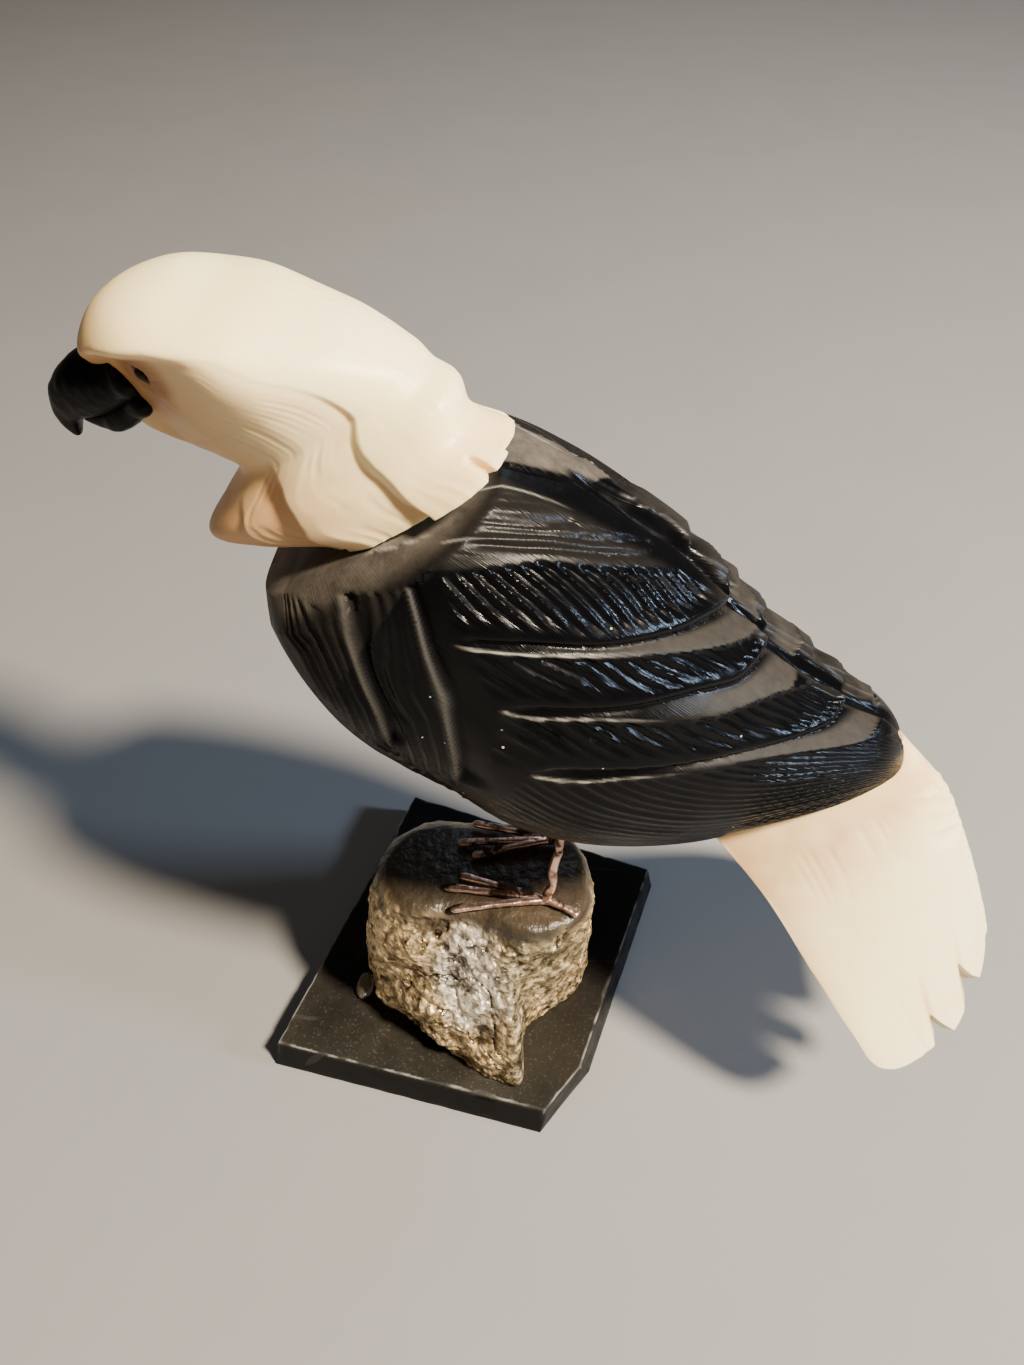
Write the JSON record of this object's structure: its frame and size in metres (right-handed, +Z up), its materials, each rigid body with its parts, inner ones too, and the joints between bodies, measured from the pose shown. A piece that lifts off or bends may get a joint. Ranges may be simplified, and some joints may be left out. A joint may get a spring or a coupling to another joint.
{
  "type": "gemstone bird carving",
  "caption": "Carved bird with black feathered body, white hooded head and fanned white tail, standing on wire feet on a pyrite rock fixed to a cut black slab.",
  "frame": {"origin": "middle of the slab's underside, which stands on the table", "axes": "+Z up; the bird faces -X with its middle plane parallel to XZ; its left side is towards -Y"},
  "size_m": [0.1221, 0.0629, 0.1285],
  "materials": {
    "black_slab": "satin cut stone with pale chips along its edges",
    "pyrite": "rough glittering pyrite, sawn flat and dull brown on top",
    "clear_glue": "clear glossy glue",
    "copper_wire": "beaten, dull copper",
    "black_onyx": "polished black stone with matt tool cuts",
    "cream_onyx": "polished translucent cream stone",
    "amber_eye": "glossy amber"
  },
  "bodies": {
    "root": {"base_slab": "black_slab", "pyrite_rock": "pyrite", "glue_bead": "clear_glue", "left_foot": "copper_wire", "right_foot": "copper_wire", "body": "black_onyx", "head": "cream_onyx", "beak": "black_onyx", "left_eye": "amber_eye", "right_eye": "amber_eye", "tail": "cream_onyx"}
  },
  "joints": []
}
